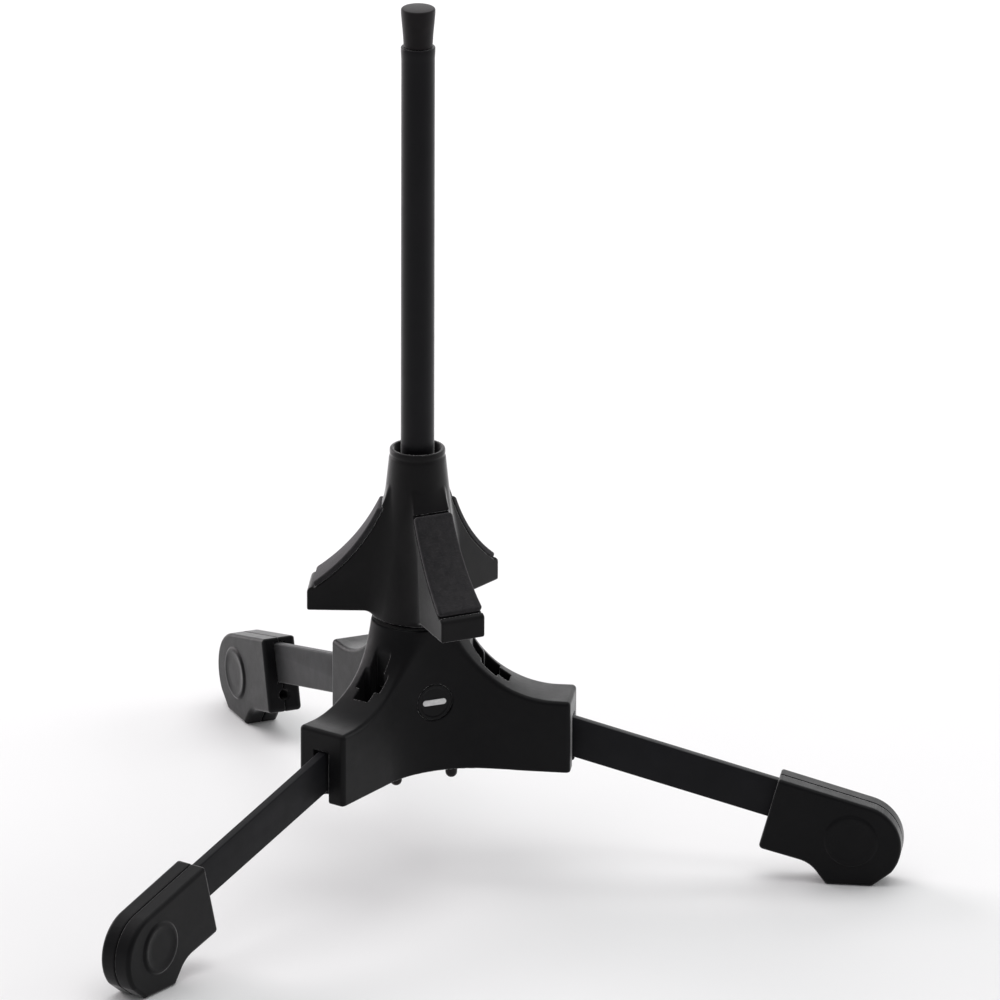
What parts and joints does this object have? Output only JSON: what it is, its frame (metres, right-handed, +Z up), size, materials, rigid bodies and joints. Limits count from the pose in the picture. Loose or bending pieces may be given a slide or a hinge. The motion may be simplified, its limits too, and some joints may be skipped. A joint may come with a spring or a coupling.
{
  "type": "saxophone stand",
  "caption": "Folding tripod stand that holds a small straight saxophone upright on a plugged peg, with a padded, finned cone for its bell and flat legs that fold down.",
  "frame": {"origin": "on the floor, at the middle of the box round the opened stand; the peg's axis stands 48 mm from it, towards -X", "axes": "+Z up along the peg; +X along leg a, out from the peg"},
  "size_m": [0.3142, 0.3628, 0.3772],
  "materials": {
    "hub_plastic": "matt black fine-grained moulding",
    "cone_plastic": "matt black fine-grained moulding",
    "foot_plastic": "matt black fine-grained moulding",
    "base_plastic": "matt black moulding",
    "bar_coat": "satin black powder coat on steel bar",
    "tube_coat": "satin black coat on a drawn tube",
    "screw_steel": "black oxide steel",
    "inner_steel": "plain turned steel",
    "plug_rubber": "dull black rubber",
    "pad_felt": "short-napped black felt",
    "badge_inlay": "satin black disc with a plain pale bar"
  },
  "bodies": {
    "hub": {"hub_body": "hub_plastic", "base_plate": "base_plastic", "base_screw_a": "screw_steel", "base_screw_b": "screw_steel", "base_screw_c": "screw_steel", "thread_bush": "inner_steel", "badge_disc": "badge_inlay"},
    "cone": {"bell_cone": "cone_plastic", "bell_pad_a": "pad_felt", "bell_pad_b": "pad_felt", "bell_pad_c": "pad_felt"},
    "peg": {"peg_tube": "tube_coat", "peg_insert": "inner_steel", "peg_end_plug": "plug_rubber"},
    "leg_a": {"leg_bar_a": "bar_coat", "pivot_pin_a": "inner_steel", "foot_pin_a": "inner_steel", "foot_a_left": "foot_plastic", "foot_a_right": "foot_plastic"},
    "leg_b": {"leg_bar_b": "bar_coat", "pivot_pin_b": "inner_steel", "foot_pin_b": "inner_steel", "foot_b_left": "foot_plastic", "foot_b_right": "foot_plastic"},
    "leg_c": {"leg_bar_c": "bar_coat", "pivot_pin_c": "inner_steel", "foot_pin_c": "inner_steel", "foot_c_left": "foot_plastic", "foot_c_right": "foot_plastic"}
  },
  "joints": [
    {"name": "leg_fold_a", "type": "hinge", "parent": "hub", "child": "leg_a", "pos_m": [-0.01703, 0, 0.0684], "axis": [0, 1, 0], "range_deg": [0, 73.5]},
    {"name": "leg_fold_b", "type": "hinge", "parent": "hub", "child": "leg_b", "pos_m": [-0.06353, -0.02685, 0.0684], "axis": [0.866, -0.5, 0], "range_deg": [0, 73.5]},
    {"name": "leg_fold_c", "type": "hinge", "parent": "hub", "child": "leg_c", "pos_m": [-0.06353, 0.02685, 0.0684], "axis": [-0.866, -0.5, 0], "range_deg": [0, 73.5]},
    {"name": "cone_lift", "type": "slide", "parent": "hub", "child": "cone", "axis": [0, 0, 1], "range_m": [0, 0.27]},
    {"name": "peg_unscrew", "type": "slide", "parent": "hub", "child": "peg", "axis": [0, 0, 1], "range_m": [0, 0.06]}
  ]
}
